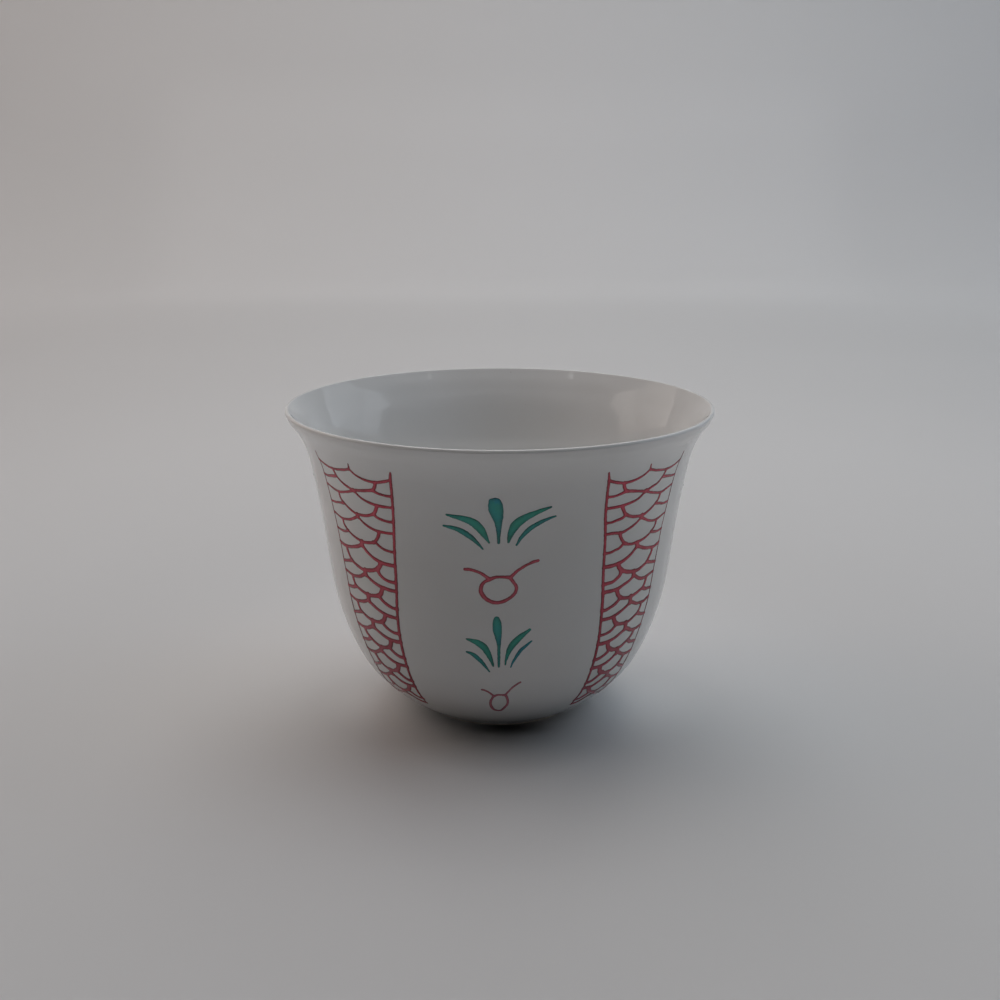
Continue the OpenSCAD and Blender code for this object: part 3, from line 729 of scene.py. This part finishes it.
def cove():
    """Pale floor that curves up all round into a seamless wall."""
    line = [(r, 0.0) for r in (0.12, 0.25, 0.4, 0.6, 0.75)]
    for a in np.linspace(0, 90, 31)[1:]:
        line.append((0.75 + 0.7 * math.sin(math.radians(a)), 0.7 - 0.7 * math.cos(math.radians(a))))
    line += [(1.45, 1.1), (1.45, 1.7)]
    seg = 96
    ang = np.arange(seg) * 2 * math.pi / seg
    verts, faces = [(0.0, 0.0, 0.0)], []
    for r, z in line:
        verts += [(r * math.cos(a), r * math.sin(a), z) for a in ang]
    for i in range(seg):
        j = (i + 1) % seg
        faces.append((0, 1 + i, 1 + j))
        for k in range(len(line) - 1):
            faces.append((1 + k * seg + i, 1 + (k + 1) * seg + i, 1 + (k + 1) * seg + j, 1 + k * seg + j))
    ob = new_object("studio_cove", verts, faces, [stage_material()])


cove()


# ------------------------------------------------------------------- light
def area(name, loc, aim, size, power, color, size_y=None, spread=180.0):
    d = bpy.data.lights.new(name, "AREA")
    d.shape = "RECTANGLE"
    d.size = size
    d.size_y = size_y or size
    d.energy = power
    d.color = color
    d.spread = math.radians(spread)
    ob = bpy.data.objects.new(name, d)
    bpy.context.scene.collection.objects.link(ob)
    ob.location = loc
    v = np.array(aim, float) - np.array(loc, float)
    from mathutils import Vector
    ob.rotation_euler = Vector(v).to_track_quat("-Z", "Y").to_euler()
    ob.visible_camera = False
    return ob


def lamp(name, az, el, dist, size, rgb, size_y=None, aim=(0, 0, 0.02)):
    """Softbox round the cup. Azimuth 0 is the camera's side, 90 is +X."""
    a, e = math.radians(az), math.radians(el)
    top = max(rgb)
    return area(name, (dist * math.cos(e) * math.sin(a), -dist * math.cos(e) * math.cos(a), dist * math.sin(e) + 0.02),
                aim, size, top, tuple(c / top for c in rgb), size_y)


def wash(name, loc, aim, size, size_y, rgb, spread=180.0):
    top = max(rgb)
    return area(name, loc, aim, size, top, tuple(c / top for c in rgb), size_y, spread)


lamp("high_back", 180, 70, 0.9, 0.7, (1.424, 1.424, 1.424))
lamp("back", 180, 50, 0.75, 0.6, (1.131, 1.131, 1.131))
soft = [lamp("left_high", -90, 50, 0.9, 0.6, (0.725, 0.549, 0.464)),
        lamp("right_high", 90, 50, 0.9, 0.6, (0.419, 0.538, 0.678)),
        lamp("left_back", -140, 40, 0.8, 0.5, (0.232, 0.192, 0.190)),
        lamp("right_back", 140, 40, 0.8, 0.5, (0.170, 0.189, 0.182))]
for ob in soft:
    # scattered fill, too soft to show in the glaze
    ob.visible_glossy = False
lamp("left_box", -114, 28, 0.85, 0.70, (0.534, 0.476, 0.435), 0.46)
lamp("right_box", 114, 28, 0.85, 0.70, (0.444, 0.483, 0.534), 0.46)
lamp("left_strip", -98.5, 30, 0.85, 0.20, (0.095, 0.088, 0.082), 0.42)
lamp("right_strip", 98.5, 30, 0.85, 0.20, (0.082, 0.088, 0.095), 0.42)
lamp("left_spark", -70.5, 62.7, 1.0, 0.036, (0.0055, 0.0055, 0.0055))
lamp("right_spark", 69, 63.1, 1.0, 0.036, (0.0055, 0.0055, 0.0055))
lamp("over_all", 0, 89.9, 1.1, 1.6, (1.480, 1.480, 1.480))
wash("wall_middle", (0, -0.35, 1.0), (0, 1.3, 0.25), 1.0, 0.4, (2.157, 2.157, 2.157), 70)
wash("wall_left", (0.3, -0.3, 1.0), (-0.8, 1.1, 0.3), 0.6, 0.4, (0.533, 0.316, 0.217), 70)
wash("wall_right", (-0.3, -0.3, 1.0), (0.8, 1.1, 0.3), 0.6, 0.4, (0.004, 0.115, 0.260), 70)
world = bpy.data.worlds.new("studio")
world.use_nodes = True
world.node_tree.nodes["Background"].inputs["Color"].default_value = (1, 1, 1, 1)
world.node_tree.nodes["Background"].inputs["Strength"].default_value = 0.0
bpy.context.scene.world = world

bpy.context.scene.view_settings.view_transform = "Standard"
bpy.context.scene.view_settings.look = "None"
bpy.context.scene.view_settings.exposure = 0
bpy.context.scene.view_settings.gamma = 1

# ------------------------------------------------------------------ camera
cam = bpy.data.cameras.new("camera")
cam.sensor_fit = "HORIZONTAL"
cam.sensor_width = 36.0
cam.lens = 1307.8 / 1000 * 36.0
cam.clip_start = 0.01
cam.shift_x = 0.0004
camera = bpy.data.objects.new("camera", cam)
bpy.context.scene.collection.objects.link(camera)
camera.location = (0, -0.20604, 0.08869)
camera.rotation_euler = (math.radians(90 - 14.861), 0, 0)
bpy.context.scene.camera = camera
